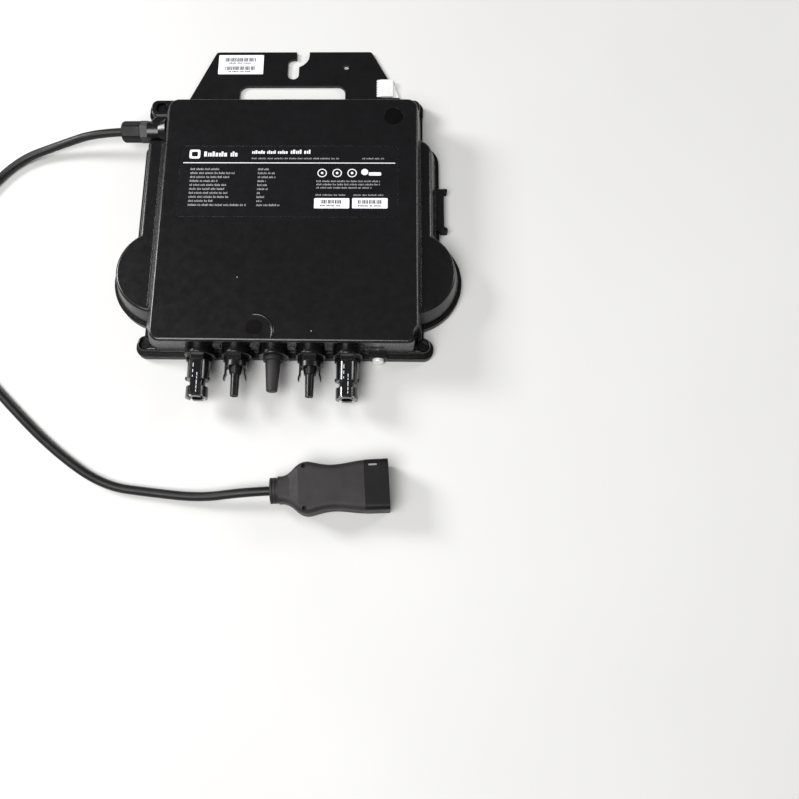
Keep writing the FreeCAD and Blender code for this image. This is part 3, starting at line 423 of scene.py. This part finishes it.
def stripes(bm, x0, x1, y0, y1, low, start=0):
    """Upright strokes of uneven width in loose groups."""
    x = x0
    count = start
    while x < x1:
        width = 0.25 + 0.2 * (count * 5 % 4)
        gap = 0.35 + 0.45 * (count * 3 % 5 == 0)
        if x + width > x1:
            return
        bar(bm, x, x + width, y0, y1, low, low + INK)
        x += width + gap
        count += 1


def word_lines(bm, lines, low):
    """Lines of stand-in words, all at one height."""
    for x0, x1, y, height, start, scale in lines:
        stand_in_words(bm, x0, x1, y, height, low, start, scale)


def rating_print():
    """White marks on the rating label: a rule, a plain badge, headings and three ringed dots."""
    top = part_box("rating_label")[1].z
    bm = bmesh.new()
    bar(bm, *RULE, top, top + INK)
    band(bm, rounded(*BADGE_OUTER), rounded(*BADGE_INNER), top, top + INK)
    word_lines(bm, HEADINGS, top)
    for x in RING_X:
        band(bm, circle(x, RING_Y, RING_OUTER_R), circle(x, RING_Y, RING_INNER_R), top, top + INK)
        prism(bm, circle(x, RING_Y, DOT_R, DOT_CORNERS), top, top + INK)
    return piece("rating_print", bm, "white_label")


def small_print():
    """Grey rows of small print on the rating label."""
    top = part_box("rating_label")[1].z
    bm = bmesh.new()
    word_lines(bm, SUBHEADINGS, top)
    for i, (first_end, second_end) in enumerate(ROW_ENDS):
        y = ROW_TOP - ROW_PITCH * i
        stand_in_words(bm, FIRST_COLUMN, first_end, y, ROW_HEIGHT, top, i, SMALL_SCALE)
        stand_in_words(bm, SECOND_COLUMN, second_end, y, ROW_HEIGHT, top, i + 2, SMALL_SCALE)
    word_lines(bm, NOTICE_LINES, top)
    word_lines(bm, STICKER_TITLES, top)
    return piece("small_print", bm, "white_label", "grey_ink")


def id_stickers():
    """Two small white stickers on the rating label, and the plain badge above them."""
    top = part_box("rating_label")[1].z
    bm = bmesh.new()
    for sticker in STICKERS:
        prism(bm, rounded(*sticker), top, top + INK)
    prism(bm, circle(*SPOT), top, top + INK)
    prism(bm, rounded(*SPOT_BAR), top, top + INK)
    return piece("id_stickers", bm, "white_label")


def sticker_print():
    """Dark strokes and rows on the small stickers and on the bracket label."""
    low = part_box("rating_label")[1].z + INK
    bm = bmesh.new()
    for x0, x1, start in STICKER_CODES:
        stripes(bm, x0, x1, *STICKER_STROKES, low, start)
        stand_in_words(bm, x0, x1, STICKER_WORDS_FOOT, CODE_WORD_HEIGHT, low, start)
    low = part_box("serial_label")[1].z
    for y, start in SERIAL_CODES:
        stripes(bm, *SERIAL_STROKES_ENDS, y, y + SERIAL_STROKE, low, start)
        stand_in_words(bm, *SERIAL_WORDS_ENDS, y - SERIAL_WORDS_DROP, CODE_WORD_HEIGHT, low, start)
    return piece("sticker_print", bm, "label")


def shell_print_and_highlight():
    """Two broken white lines along the top key of each DC shell: the left one a painted highlight, the right
    one printed.
    """
    bm = bmesh.new()
    for name in ("dc_shell_left", "dc_shell_right"):
        low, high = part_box(name)
        middle = (low.x + high.x) / 2 / MM
        for offset, start, length in SHELL_HIGHLIGHT_AND_PRINT_DASHES:
            y = low.y / MM + start
            bar(bm, middle + offset - 0.22, middle + offset + 0.22, y, y + length, high.z, high.z + INK)
    return piece("shell_print_and_highlight", bm, "white_label")


def gate_marks():
    """Two shallow moulding marks on the front face."""
    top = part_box("rating_label")[1].z + 0.1 * MM
    bm = bmesh.new()
    for x, y in ((22.3, -89.9), (-32.0, -49.4)):
        prism(bm, circle(x, y, 0.5, 12), top, top + INK)
    return piece("gate_marks", bm, "black_cover", "grey_ink")


def stage():
    """Plain pale floor under the object."""
    floor = bpy.data.meshes.new("floor")
    bm = bmesh.new()
    bmesh.ops.create_grid(bm, x_segments=1, y_segments=1, size=FLOOR_HALF_SIDE)
    bm.to_mesh(floor)
    bm.free()
    obj = bpy.data.objects.new("floor", floor)
    obj.location = (0.0, 0.0, -FLOOR_DROP)
    bpy.context.scene.collection.objects.link(obj)
    floor.materials.append(finish("floor", **FLOOR_FINISH))


def area_light(name, place, aim, size, power):
    """Soft rectangular lamp that points at a spot."""
    data = bpy.data.lights.new(name, "AREA")
    data.shape = "RECTANGLE"
    data.size, data.size_y = size
    data.energy = power
    light = bpy.data.objects.new(name, data)
    light.location = place
    light.rotation_mode = "QUATERNION"
    light.rotation_quaternion = (Vector(aim) - Vector(place)).to_track_quat("-Z", "Y")
    bpy.context.scene.collection.objects.link(light)


def lights():
    """Even light from all round and three soft lamps."""
    world = bpy.data.worlds.new("studio")
    world.use_nodes = True
    world.node_tree.nodes["Background"].inputs["Color"].default_value = SKY_COLOUR
    world.node_tree.nodes["Background"].inputs["Strength"].default_value = SKY_STRENGTH
    bpy.context.scene.world = world
    for lamp in LAMPS:
        area_light(*lamp)


make_camera()
lead = make_lead()
lead.data.materials.append(MATERIALS["lead_jacket"])
dress_nodes()
rating_print()
small_print()
id_stickers()
sticker_print()
shell_print_and_highlight()
gate_marks()
stage()
lights()
bpy.context.scene.view_settings.view_transform = "Standard"
